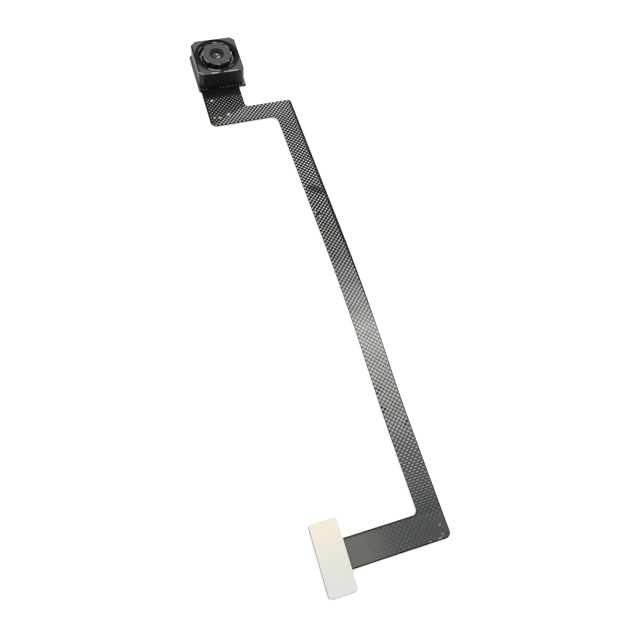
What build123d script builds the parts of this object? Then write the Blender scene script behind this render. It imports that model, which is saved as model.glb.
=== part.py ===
from build123d import *
from math import atan2, cos, radians, sin, sqrt, tan
import os

# Autofocus camera head on a long Z-shaped flexible circuit, with a board-to-board connector at its far end.
# Millimetres. +Z up out of the lens, +X along the arms, +Y from the connector towards the head.
# The origin is the middle of the head's underside.

# Head: plate, boards and housing, from the bottom up
board_side = 9.1
board_corner = 0.2
plate_inset = 0.1
plate_thick = 0.15
flex_thick = 0.12
film_thick = 0.03
board_thick = 0.25
die_length = 5.2
die_width = 4.2
die_thick = 0.22
capacitor_size = (0.35, 0.65, 0.3)
capacitor_x = 3.15
capacitor_pitch = 1.6
housing_inset = 0.2
housing_foot_cut = 1.0
housing_flange = 0.42
housing_cavity = 7.4
housing_roof = 0.2
cavity_headroom = 0.36
filter_side = 5.5
filter_thick = 0.21
filter_gap = 0.05
window_side = 4.6

# Shield can over the focus motor
can_side = 8.5
can_sheet = 0.15
can_cut_back_left = 0.95
can_cut_back_right = 0.75
can_cut_front_right = 0.5
can_cut_front_left = 0.7
can_hole_radius = 4.05
can_rim_round = 0.07
rim_notch_width = 0.65
rim_notch_x = 0.05
fit_gap = 0.02

# Focus motor
motor_base_thick = 0.35
motor_base_hole = 2.85
spring_sheet = 0.04
spring_hole = 3.75
spring_arm_inner = 3.4
spring_arm_width = 0.13
spring_arm_sweep = 62
spring_bridge = 4
spring_arms = 4
spring_turn = 15
focus_travel = 0.3
carrier_bore = 2.72
carrier_wall = 0.36
carrier_height = 1.66
carrier_foot_height = 0.2
carrier_foot_width = 0.2
coil_thick = 0.32
coil_height = 1.1
coil_lift = 0.26
magnet_gap = 0.12
magnet_height = 1.2
spacer_frame_thick = 0.2
top_frame_thick = 0.36
top_hole_radius = 3.35
top_hole_bevel = 0.12
top_notch_count = 6
top_notch_width = 0.5
top_notch_depth = 0.14

# Lens barrel and what is stacked in it, from the front lens down
barrel_proud = 0.45
barrel_tip_radius = 2.8
barrel_foot_lift = 0.1
tooth_count = 8
tooth_depth = 0.24
tooth_shape = 0.4
mouth_radius = 1.4
mouth_depth = 0.3
stop_radius = 0.9
stop_thick = 0.15
lens_gap = 0.01
# edge radius, edge thickness, clear radius, front bulge, back bulge
lens_stack = [
    (1.20, 0.30, 0.84, 0.14, 0.02),
    (1.45, 0.30, 0.85, 0.03, -0.08),
    (1.90, 0.40, 1.30, -0.06, 0.16),
    (2.30, 0.66, 1.70, -0.18, -0.10),
]
lens_spacer_thick = 0.08
spacer_overlap = 0.15
retainer_thick = 0.2
retainer_width = 0.45

# Solder on the board's front ledge
solder_radius = 0.16
solder_pitch = 0.62
solder_first_x = -0.45
solder_count = 7
terminal_x = (-3.75, -3.15)
terminal_width = 0.3
terminal_thick = 0.15
ground_lump_height = 0.36
ground_lump_radius = 0.62
ground_lump_sink = 0.15

# Flexible circuit seen from above
neck_left = -4.2
neck_right = 3.15
arm_back = -9.6
arm_width = 3.65
strip_left = 8.25
strip_width = 3.7
tail_back = -88.9
tail_width = 4.35
pad_left = -7.55
pad_width = 4.3
pad_past_tail = 3.05
pad_length = 10.25
pad_inset = 0.1
neck_outer_round = 1.2
neck_inner_round = 0.7
arm_outer_round = 0.7
arm_inner_round = 1.3
tail_outer_round = 0.9
tail_inner_round = 0.8
pad_round = 0.5
film_inset = 0.1
cover_length = 1.95

# Flexible circuit seen from the side, along a line that runs slant degrees off the strip
slant = 20
bend_1_past_arm = 1.9
bend_2 = 54.0
bend_3_before_tail = 16.9
arch_height = 2.75
bend_1_radius = 110
bend_2_radius = 130
bend_3_radius = 85

# Connector under the far end
connector_width = 3.3
connector_length = 9.2
connector_height = 0.82
connector_wall = 0.45
connector_depth = 0.55
connector_tongue = 0.7
contact_margin = 0.75
contact_pitch = 0.4
contact_width = 0.2
contact_sheet = 0.08
contact_foot = 0.3
contact_drop = 0.5
nail_width = 1.8
nail_sheet = 0.2
nail_height = 0.6
stiffener_thick = 0.2
stiffener_edge_round = 0.05

# Heights worked out from the stack
board_low = plate_thick + flex_thick
board_top = board_low + board_thick
flange_top = board_top + housing_flange
cavity_top = board_top + die_thick + cavity_headroom
filter_low = cavity_top + housing_roof
housing_top = filter_low + filter_thick + filter_gap
motor_base_top = housing_top + motor_base_thick
carrier_low = motor_base_top + spring_sheet
carrier_top = carrier_low + carrier_height
coil_low = carrier_low + coil_lift
spacer_frame_top = carrier_top
spacer_frame_low = spacer_frame_top - spacer_frame_thick
top_frame_low = spacer_frame_top + spring_sheet
can_under = top_frame_low + top_frame_thick
can_top = can_under + can_sheet
barrel_top = can_top + barrel_proud
barrel_low = carrier_low - barrel_foot_lift

# Widths and places worked out from the pieces they meet
board_half = board_side / 2
can_half = can_side / 2
motor_inset = can_sheet + fit_gap
carrier_radius = carrier_bore + carrier_wall
coil_radius = carrier_radius + coil_thick
magnet_face = coil_radius + magnet_gap
barrel_radius = carrier_bore - fit_gap
ledge_front = -(board_half - housing_inset)
strip_right = strip_left + strip_width
arm_front = arm_back - arm_width
tail_front = tail_back - tail_width
pad_right = pad_left + pad_width
pad_back = tail_back + pad_past_tail
pad_front = pad_back - pad_length
pad_x = pad_left + pad_width / 2
pad_y = pad_back - pad_length / 2
cover_front = -board_half - cover_length
flex_at_pad = connector_height + flex_thick
bend_1 = bend_1_past_arm - arm_back
bend_3 = -tail_back - bend_3_before_tail
contact_count = int((connector_length - 2 * contact_margin) / contact_pitch + 0.01) + 1

os.makedirs("parts", exist_ok=True)


def slab(outline, low, high):
    return extrude(Pos(0, 0, low) * outline, high - low)


def block(x_low, x_high, y_low, y_high, z_low, z_high):
    size = (x_high - x_low, y_high - y_low, z_high - z_low)
    middle = ((x_low + x_high) / 2, (y_low + y_high) / 2, (z_low + z_high) / 2)
    return Pos(*middle) * Box(*size)


def ring(outer, inner, low, high):
    return slab(Circle(outer) - Circle(inner), low, high)


def cut_square(half, cuts):
    """Square with its four corners cut off, listed from back left round to front left."""
    a, b, c, d = cuts
    points = [
        (-half, half - a), (-half + a, half), (half - b, half), (half, half - b),
        (half, -half + c), (half - c, -half), (-half + d, -half), (-half, -half + d),
    ]
    return make_face(Polyline(*points, close=True))


def can_outline(inset):
    """Plan of the can, or of what fits inside it at that distance from its outer wall."""
    shrink = inset * (2 - sqrt(2))
    cuts = (can_cut_back_left, can_cut_back_right, can_cut_front_right, can_cut_front_left)
    return cut_square(can_half - inset, [cut - shrink for cut in cuts])


def board_outline(inset):
    return cut_square(board_half - inset, [board_corner] * 4)


def side_path(lift):
    """Side view of the flex, lifted square to its own surface: straight runs and tangent arcs."""
    far = bend_3 + pad_length + strip_width + tail_width + board_side
    runs = [(-board_side, plate_thick), (bend_1, plate_thick), (bend_2, arch_height)]
    runs += [(bend_3, connector_height), (far, connector_height)]
    turns = [atan2(b[1] - a[1], b[0] - a[0]) for a, b in zip(runs, runs[1:])]
    points, radii = [], []
    for i, (s, z) in enumerate(runs):
        before, after = turns[max(i - 1, 0)], turns[min(i, len(turns) - 1)]
        middle, half = (before + after) / 2, (after - before) / 2
        reach = lift / cos(half)
        points.append((s - reach * sin(middle), z + reach * cos(middle)))
        if 0 < i < len(runs) - 1:
            radius = (bend_1_radius, bend_2_radius, bend_3_radius)[i - 1]
            radii.append(radius - lift if half > 0 else radius + lift)
    return points, radii


def flex_layer(outline, low, high):
    """The part of a bent sheet, between two lifts off the flex's underside, that lies over an outline."""
    across = Plane(
        origin=(0, 0, 0),
        x_dir=(sin(radians(slant)), -cos(radians(slant)), 0),
        z_dir=(-cos(radians(slant)), -sin(radians(slant)), 0),
    )
    under, under_radii = side_path(low)
    over, over_radii = side_path(high)
    edges = FilletPolyline(*under, radius=under_radii) + FilletPolyline(*over, radius=over_radii)
    edges += Line(under[0], over[0]) + Line(under[-1], over[-1])
    reach = strip_right - pad_front
    sheet = extrude(across * make_face(edges), reach, both=True)
    return sheet & slab(outline, -arch_height, 2 * arch_height + connector_height)


def flex_outline():
    """Whole die-cut outline: head, neck, arm, long strip, tail and connector pad."""
    left, right = pad_left + pad_inset, pad_right - pad_inset
    front, back = pad_front + pad_inset, pad_back - pad_inset
    corners = [
        (-board_half, board_half, board_corner), (board_half, board_half, board_corner),
        (board_half, -board_half, board_corner), (neck_right, -board_half, board_corner),
        (neck_right, arm_back, neck_inner_round), (strip_right, arm_back, arm_outer_round),
        (strip_right, tail_front, tail_outer_round), (right, tail_front, board_corner),
        (right, front, pad_round), (left, front, pad_round),
        (left, back, pad_round), (right, back, pad_round),
        (right, tail_back, board_corner), (strip_left, tail_back, tail_inner_round),
        (strip_left, arm_front, arm_inner_round), (neck_left, arm_front, neck_outer_round),
        (neck_left, -board_half, board_corner), (-board_half, -board_half, board_corner),
    ]
    points = [(x, y) for x, y, radius in corners]
    return make_face(FilletPolyline(*points, radius=[c[2] for c in corners], close=True))


def film_outline():
    """Shield film: the neck past its cover, the arm, strip and tail, a little inside the flex's edge."""
    inset = film_inset
    corners = [
        (neck_left + inset, cover_front, None), (neck_right - inset, cover_front, None),
        (neck_right - inset, arm_back - inset, neck_inner_round + inset),
        (strip_right - inset, arm_back - inset, arm_outer_round - inset),
        (strip_right - inset, tail_front + inset, tail_outer_round - inset),
        (pad_right + inset, tail_front + inset, None), (pad_right + inset, tail_back - inset, None),
        (strip_left + inset, tail_back - inset, tail_inner_round + inset),
        (strip_left + inset, arm_front + inset, arm_inner_round + inset),
        (neck_left + inset, arm_front + inset, neck_outer_round - inset),
    ]
    face = make_face(Polyline(*[(x, y) for x, y, radius in corners], close=True))
    for x, y, radius in corners:
        if radius:
            face = fillet(face.vertices().sort_by_distance((x, y, 0))[0], radius)
    return face


def base_plate():
    return slab(board_outline(plate_inset), 0, plate_thick)


def flex_circuit():
    return flex_layer(flex_outline(), 0, flex_thick)


def shield_film_top():
    return flex_layer(film_outline(), flex_thick, flex_thick + film_thick)


def shield_film_bottom():
    return flex_layer(film_outline(), -film_thick, 0)


def neck_cover():
    """Plain black cover layer between the board's edge and the shield film."""
    low = plate_thick + flex_thick
    return block(
        neck_left + film_inset, neck_right - film_inset, cover_front, -board_half, low, low + film_thick
    )


def sensor_board():
    return slab(board_outline(0), board_low, board_top)


def image_sensor():
    return slab(Rectangle(die_length, die_width), board_top, board_top + die_thick)


def board_capacitors():
    x_size, y_size, z_size = capacitor_size
    chips = []
    for side in (-1, 1):
        for step in (-1, 0, 1):
            place = Pos(side * capacitor_x, step * capacitor_pitch, board_top + z_size / 2)
            chips.append(place * Box(x_size, y_size, z_size))
    return Compound(children=chips)


def sensor_housing():
    """Moulded frame round the sensor, with a roof that carries the filter over a square window."""
    feet = [board_corner, board_corner, housing_foot_cut, housing_foot_cut]
    frame = slab(cut_square(board_half - housing_inset, feet), board_top, flange_top)
    frame += slab(can_outline(motor_inset), flange_top, housing_top)
    frame -= slab(Rectangle(housing_cavity, housing_cavity), board_top, cavity_top)
    frame -= slab(Rectangle(window_side, window_side), cavity_top, housing_top)
    seat = filter_side + 2 * fit_gap
    frame -= slab(Rectangle(seat, seat), filter_low, housing_top)
    for x in terminal_x:
        frame -= terminal_blank(x)
    return frame


def terminal_blank(x):
    half = terminal_width / 2
    return block(x - half, x + half, ledge_front, ledge_front + terminal_thick, board_top, flange_top)


def coil_terminals():
    """Two flat legs of the focus motor, let into the housing's front and standing on the board."""
    return Compound(children=[terminal_blank(x) for x in terminal_x])


def ir_filter():
    return slab(Rectangle(filter_side, filter_side), filter_low, filter_low + filter_thick)


def edge_terminals():
    """Solder beads on the ledge in front of the housing."""
    places = [solder_first_x + i * solder_pitch for i in range(solder_count)] + list(terminal_x)
    front = block(-board_half, board_half, -board_side, ledge_front, board_top, flange_top)
    beads = [front & (Pos(x, ledge_front, board_top) * Sphere(solder_radius)) for x in places]
    return Compound(children=[bead.solid() for bead in beads])


def ground_solder():
    """Solder lumps on the board's two front corners, at the feet of the can."""
    lumps = []
    for side in (-1, 1):
        reach = board_half - board_corner / 2
        near = reach - housing_foot_cut + housing_inset
        corner = make_face(Polyline(
            (side * reach, -near), (side * near, -reach), (side * reach, -reach), close=True
        ))
        prism = slab(corner, board_top, board_top + ground_lump_height)
        middle = (reach * 2 + near) / 3
        ball = Pos(side * middle, -middle, board_top - ground_lump_sink) * Sphere(ground_lump_radius)
        lumps.append((prism & ball).solid())
    return Compound(children=lumps)


def shield_can():
    """Drawn steel can: cut corners, a large round hole and a small notch in its front rim."""
    can = slab(can_outline(0), flange_top, can_top)
    can = fillet(can.faces().sort_by(Axis.Z)[-1].edges(), can_rim_round)
    can -= slab(can_outline(can_sheet), flange_top, can_under)
    can -= slab(Circle(can_hole_radius), can_under, can_top)
    left, right = rim_notch_x - rim_notch_width / 2, rim_notch_x + rim_notch_width / 2
    return can - block(left, right, -can_half, -can_half + 2 * can_sheet, can_under, can_top)


def motor_base():
    return slab(can_outline(motor_inset) - Circle(motor_base_hole), housing_top, motor_base_top)


def leaf_spring(low, ring_inner, ring_outer, turn):
    """Flat leaf spring: an outer frame, an inner ring and four curved arms between them."""
    arm_outer = spring_arm_inner + spring_arm_width
    shape = can_outline(motor_inset) - Circle(spring_hole)
    shape += Circle(ring_outer) - Circle(ring_inner)
    for i in range(spring_arms):
        start = turn + 360 / spring_arms * i
        last = start + spring_arm_sweep - spring_bridge
        shape += sector(spring_arm_inner, arm_outer, start, spring_arm_sweep)
        shape += sector(ring_outer - spring_sheet, arm_outer, start, spring_bridge)
        shape += sector(spring_arm_inner, spring_hole + spring_sheet, last, spring_bridge)
    return slab(shape, low, low + spring_sheet)


def sector(inner, outer, start, sweep):
    """Piece of a flat ring between two radii and two angles in degrees."""
    def at(radius, angle):
        return (radius * cos(radians(angle)), radius * sin(radians(angle)))
    end, middle = start + sweep, start + sweep / 2
    edges = ThreePointArc(at(outer, start), at(outer, middle), at(outer, end))
    edges += ThreePointArc(at(inner, start), at(inner, middle), at(inner, end))
    edges += Line(at(inner, start), at(outer, start)) + Line(at(inner, end), at(outer, end))
    return make_face(edges)


def lower_spring():
    return leaf_spring(motor_base_top, carrier_bore, carrier_radius + carrier_foot_width, spring_turn)


def upper_spring():
    return leaf_spring(carrier_top, carrier_bore, carrier_radius, -spring_turn)


def magnets():
    """Four magnets that fill the can's corners outside the coil."""
    inside = slab(can_outline(can_sheet), spacer_frame_low - magnet_height, spacer_frame_low)
    bars = []
    for i in range(4):
        corner = Rot(0, 0, 45 + 90 * i) * block(
            magnet_face, can_side, -can_half, can_half, spacer_frame_low - magnet_height, spacer_frame_low
        )
        bars.append((inside & corner).solid())
    return Compound(children=bars)


def spring_spacer():
    hole = coil_radius + focus_travel
    return slab(can_outline(motor_inset) - Circle(hole), spacer_frame_low, spacer_frame_top)


def top_frame():
    """Black ring under the can's hole, bevelled at its own hole and notched round it."""
    frame = slab(can_outline(motor_inset) - Circle(top_hole_radius), top_frame_low, can_under)
    bevel = Pos(0, 0, can_under - top_hole_bevel / 2) * Cone(
        top_hole_radius, top_hole_radius + top_hole_bevel, top_hole_bevel
    )
    frame -= bevel
    for i in range(top_notch_count):
        reach = top_hole_radius + top_notch_depth
        half = top_notch_width / 2
        frame -= Rot(0, 0, 360 / top_notch_count * i) * block(0, reach, -half, half, top_frame_low, can_under)
    return frame


def lens_carrier():
    body = ring(carrier_radius, carrier_bore, carrier_low, carrier_top)
    foot_radius = carrier_radius + carrier_foot_width
    return body + ring(foot_radius, carrier_bore, carrier_low, carrier_low + carrier_foot_height)


def drive_coil():
    return ring(coil_radius, carrier_radius, coil_low, coil_low + coil_height)


def lens_levels():
    """Top of each lens edge, working down from the stop."""
    levels, level = [], barrel_top - mouth_depth - stop_thick
    for radius, edge, clear, front, back in lens_stack:
        levels.append(level)
        level -= edge + lens_spacer_thick
    return levels


def lens_barrel():
    """Barrel: saw-toothed tip, open mouth, stop, and a bore that widens step by step for the lenses."""
    tip_low = top_frame_low + fit_gap
    body = slab(Circle(barrel_radius), barrel_low, tip_low)
    body += slab(ratchet_outline(), tip_low, barrel_top)
    stop_top = barrel_top - mouth_depth
    mouth = Pos(0, 0, (stop_top + barrel_top) / 2) * Cone(stop_radius, mouth_radius, mouth_depth)
    body -= mouth
    body -= slab(Circle(stop_radius), barrel_low, stop_top)
    for (radius, edge, clear, front, back), level in zip(lens_stack, lens_levels()):
        body -= slab(Circle(radius + lens_gap), barrel_low, level)
    return body


def ratchet_outline():
    """Round outline whose radius grows a little along each tooth and then steps in again."""
    def at(radius, angle):
        return (radius * cos(radians(angle)), radius * sin(radians(angle)))
    sweep = 360 / tooth_count
    root = barrel_tip_radius - tooth_depth
    mean = barrel_tip_radius - tooth_depth * tooth_shape
    edges = []
    for i in range(tooth_count):
        start, end = i * sweep, (i + 1) * sweep
        edges.append(ThreePointArc(at(root, start), at(mean, start + sweep / 2), at(barrel_tip_radius, end)))
        edges.append(Line(at(barrel_tip_radius, end), at(root, end)))
    return make_face(edges)


def lens(index):
    """Lens turned about the axis: a flat edge, and two domed or hollowed faces over its clear radius."""
    radius, edge, clear, front, back = lens_stack[index]
    top = lens_levels()[index]
    low = top - edge
    profile = (
        Line((0, low - back), (0, top + front))
        + dome(clear, top, front)
        + Line((clear, top), (radius, top))
        + Line((radius, top), (radius, low))
        + Line((radius, low), (clear, low))
        + dome(clear, low, -back)
    )
    return revolve(Plane.XZ * make_face(profile), Axis.Z)


def dome(clear, level, bulge):
    """Half of a shallow arc from the axis out to the clear radius."""
    sphere = (clear * clear + bulge * bulge) / (2 * abs(bulge))
    side = 1 if bulge > 0 else -1
    centre = level + bulge - side * sphere
    middle = clear / 2
    height = centre + side * sqrt(sphere**2 - middle**2)
    return ThreePointArc((0, level + bulge), (middle, height), (clear, level))


def lens_spacer(index):
    upper, under = lens_stack[index], lens_stack[index + 1]
    top = lens_levels()[index] - upper[1]
    return ring(upper[0], upper[2] + spacer_overlap / 2, top - lens_spacer_thick, top)


def lens_retainer():
    radius, edge, clear, front, back = lens_stack[-1]
    top = lens_levels()[-1] - edge
    return ring(radius, radius - retainer_width, top - retainer_thick, top)


def contact_blank(side, y):
    """One contact: a foot under the flex and a leg down the wall of the connector."""
    wall_face = connector_width / 2 - connector_wall
    front, back = y - contact_width / 2, y + contact_width / 2
    foot_xs = sorted((side * (connector_width / 2 + contact_foot), side * (wall_face - contact_sheet)))
    leg_xs = sorted((side * wall_face, side * (wall_face - contact_sheet)))
    foot = block(*foot_xs, front, back, connector_height - contact_sheet, connector_height)
    leg = block(*leg_xs, front, back, connector_height - contact_drop, connector_height)
    return Pos(pad_x, 0, 0) * (foot + leg)


def contact_row():
    start = pad_y - contact_pitch * (contact_count - 1) / 2
    places = [(side, start + i * contact_pitch) for side in (-1, 1) for i in range(contact_count)]
    return [contact_blank(side, y).solid() for side, y in places]


def connector_housing():
    """Moulded plug: an outer wall and a middle tongue round a trough that opens downwards."""
    body = Pos(pad_x, pad_y, connector_height / 2) * Box(connector_width, connector_length, connector_height)
    trough = Rectangle(connector_width - 2 * connector_wall, connector_length - 2 * connector_wall)
    tongue_length = connector_length - 4 * connector_wall
    trough -= Rectangle(connector_tongue, tongue_length)
    body -= Pos(pad_x, pad_y, 0) * slab(trough, 0, connector_depth)
    body -= Compound(children=contact_row())
    return body - Compound(children=nail_blanks())


def connector_contacts():
    return Compound(children=contact_row())


def nail_blanks():
    """Metal end plates that solder the connector's two ends to the flex."""
    blanks = []
    for side in (-1, 1):
        outer = pad_y + side * connector_length / 2
        ys = sorted((outer, outer - side * nail_sheet))
        low = connector_height - nail_height
        plate = block(pad_x - nail_width / 2, pad_x + nail_width / 2, *ys, low, connector_height)
        blanks.append(plate.solid())
    return blanks


def connector_nails():
    return Compound(children=nail_blanks())


def connector_stiffener():
    """Steel plate on the back of the flex, over the connector."""
    outline = RectangleRounded(pad_width, pad_length, pad_round)
    plate = Pos(pad_x, pad_y, 0) * slab(outline, flex_at_pad, flex_at_pad + stiffener_thick)
    return fillet(plate.faces().sort_by(Axis.Z)[-1].edges(), stiffener_edge_round)


nodes = {
    "base_plate": base_plate,
    "flex_circuit": flex_circuit,
    "shield_film_top": shield_film_top,
    "shield_film_bottom": shield_film_bottom,
    "neck_cover": neck_cover,
    "sensor_board": sensor_board,
    "image_sensor": image_sensor,
    "board_capacitors": board_capacitors,
    "sensor_housing": sensor_housing,
    "coil_terminals": coil_terminals,
    "ir_filter": ir_filter,
    "edge_terminals": edge_terminals,
    "ground_solder": ground_solder,
    "shield_can": shield_can,
    "motor_base": motor_base,
    "lower_spring": lower_spring,
    "magnets": magnets,
    "spring_spacer": spring_spacer,
    "upper_spring": upper_spring,
    "top_frame": top_frame,
    "lens_carrier": lens_carrier,
    "drive_coil": drive_coil,
    "lens_barrel": lens_barrel,
    "lens_retainer": lens_retainer,
    "connector_housing": connector_housing,
    "connector_contacts": connector_contacts,
    "connector_nails": connector_nails,
    "connector_stiffener": connector_stiffener,
}
for name, make in nodes.items():
    export_step(make(), f"parts/{name}.step")
for index in range(len(lens_stack)):
    export_step(lens(index), f"parts/lens_{index + 1}.step")
for index in range(len(lens_stack) - 1):
    export_step(lens_spacer(index), f"parts/lens_spacer_{index + 1}.step")
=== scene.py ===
import bpy
import bmesh
from math import atan2, cos, degrees, pi, radians, sin, sqrt, tan
from mathutils import Matrix, Vector


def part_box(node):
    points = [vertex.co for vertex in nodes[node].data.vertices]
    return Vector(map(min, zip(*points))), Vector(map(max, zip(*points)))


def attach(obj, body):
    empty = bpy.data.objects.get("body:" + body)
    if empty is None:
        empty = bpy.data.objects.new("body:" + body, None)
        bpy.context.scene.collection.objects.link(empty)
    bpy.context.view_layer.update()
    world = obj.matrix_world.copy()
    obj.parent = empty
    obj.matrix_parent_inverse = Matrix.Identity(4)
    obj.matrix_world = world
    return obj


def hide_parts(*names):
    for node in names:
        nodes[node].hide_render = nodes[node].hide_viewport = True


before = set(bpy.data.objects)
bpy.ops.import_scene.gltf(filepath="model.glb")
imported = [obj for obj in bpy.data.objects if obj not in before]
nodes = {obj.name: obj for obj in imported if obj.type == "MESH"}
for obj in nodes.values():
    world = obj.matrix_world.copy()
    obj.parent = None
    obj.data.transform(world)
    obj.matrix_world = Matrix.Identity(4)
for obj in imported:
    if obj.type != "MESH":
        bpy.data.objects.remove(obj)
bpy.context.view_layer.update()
scene = bpy.context.scene
mm = 0.001
print("frame loaded:", len(nodes), "nodes")


# helpers shared by every material and every Geometry Nodes tree

def linearColour(code):
    channels = [int(code[i:i + 2], 16) / 255 for i in (1, 3, 5)]
    return tuple(c / 12.92 if c <= 0.04045 else ((c + 0.055) / 1.055) ** 2.4 for c in channels) + (1.0,)


def addNode(tree, kind, links=None, out=0, **settings):
    # adds one node, sets it up and links it; gives back one of its outputs, or the node itself for out=None
    node = tree.nodes.new(kind)
    for key, value in settings.items():
        setattr(node, key, value)
    for key, value in (links or {}).items():
        for item in value if isinstance(value, list) else [value]:
            if isinstance(item, bpy.types.NodeSocket):
                tree.links.new(item, node.inputs[key])
            else:
                node.inputs[key].default_value = item
    return node if out is None else node.outputs[out]


def emptyTree(owner):
    owner.use_nodes = True
    owner.node_tree.nodes.clear()
    return owner.node_tree


def fromSpan(low, high):
    return {"From Min": low, "From Max": high}


def meshOf(name, shape):
    # the plain mesh of a finished bmesh
    mesh = bpy.data.meshes.new(name)
    shape.to_mesh(mesh)
    shape.free()
    return mesh


def newObject(name, data):
    item = bpy.data.objects.new(name, data)
    scene.collection.objects.link(item)
    return item


# what all finishes share: the noise of grain and mottle, and the part of its range that turns the tone or the gloss
ground = {"noise": {"Detail": 3.0, "Roughness": 0.6}, "toneSpan": (0.35, 0.65), "glossSpan": (0.3, 0.7)}


def startFinish(name, facts):
    # the common ground of every finish, in mm: two mixed tones, a fine grain in the gloss, a shallow bump, covers
    material = bpy.data.materials.new(name)
    tree = emptyTree(material)
    metres = addNode(tree, "ShaderNodeTexCoord", out="Object")
    place = addNode(tree, "ShaderNodeVectorMath", {0: metres, "Scale": 1 / mm}, operation="SCALE")
    drawn = place
    if "stretch" in facts:
        drawn = addNode(tree, "ShaderNodeMapping", {"Vector": place, "Scale": facts["stretch"]})
    fine, mottle = (
        addNode(tree, "ShaderNodeTexNoise", {"Vector": vector, "Scale": 1 / facts[size], **ground["noise"]})
        for vector, size in ((drawn, "grain"), (place, "mottle")))
    tones = addNode(tree, "ShaderNodeMapRange", {"Value": mottle, **fromSpan(*ground["toneSpan"])},
                    interpolation_type="SMOOTHSTEP")
    colour = addNode(tree, "ShaderNodeMix", {
        "Factor": tones, 6: linearColour(facts["dark"]), 7: linearColour(facts["light"])}, out=2, data_type="RGBA")
    gloss = addNode(tree, "ShaderNodeMapRange", {
        "Value": fine, **fromSpan(*ground["glossSpan"]),
        "To Min": facts["roughness"][0], "To Max": facts["roughness"][1]})
    bump = addNode(tree, "ShaderNodeBump", {"Distance": facts["depth"] * mm, "Height": fine})
    shader = addNode(tree, "ShaderNodeBsdfPrincipled", {
        "Base Color": colour, "Roughness": gloss, "Normal": bump, **facts.get("shader", {})}, out=None)
    addNode(tree, "ShaderNodeOutputMaterial", {"Surface": shader.outputs[0]}, out=None)
    axes = addNode(tree, "ShaderNodeSeparateXYZ", {0: place}, out=None).outputs
    finish = dict(zip("xyz", axes), material=material, tree=tree, shader=shader, place=place, fine=fine,
                  mottle=mottle, colour=colour)
    for value, cover in facts.get("covers", []):
        coverWhere(finish, finish[value], cover)
    return finish


def coverWhere(finish, value, cover, within=1.0):
    # lays a colour over the finish, at its strength, where value runs along its span, and only inside the mask within
    code, most, limits = cover
    tree = finish["tree"]
    amount = addNode(tree, "ShaderNodeMapRange", {"Value": value, **fromSpan(*limits), "To Max": most},
                     interpolation_type="SMOOTHSTEP")
    inside = addNode(tree, "ShaderNodeMath", {0: amount, 1: within}, operation="MULTIPLY")
    finish["colour"] = addNode(tree, "ShaderNodeMix", {
        "Factor": inside, 6: finish["colour"], 7: linearColour(code)}, out=2, data_type="RGBA")
    tree.links.new(finish["colour"], finish["shader"].inputs["Base Color"])
    return inside


def readOff(tree, value, low, high, stops):
    # a strength or a tone that changes along value, read off a list of places and what holds there
    along = addNode(tree, "ShaderNodeMapRange", {"Value": value, **fromSpan(low, high)})
    ramp = addNode(tree, "ShaderNodeValToRGB", {0: along}, out=None)
    marks = ramp.color_ramp.elements
    while len(marks) < len(stops):
        marks.new(0.5)
    for mark, (at, tone) in zip(marks, stops):
        mark.position = (at - low) / (high - low)
        mark.color = tone if isinstance(tone, tuple) else (tone, tone, tone, 1.0)
    return ramp.outputs


def fromAxis(finish):
    # distance from the lens's axis
    flat = addNode(finish["tree"], "ShaderNodeCombineXYZ", {0: finish["x"], 1: finish["y"]})
    return addNode(finish["tree"], "ShaderNodeVectorMath", {0: flat}, out=1, operation="LENGTH")


metal = {"Metallic": 1.0}
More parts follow.
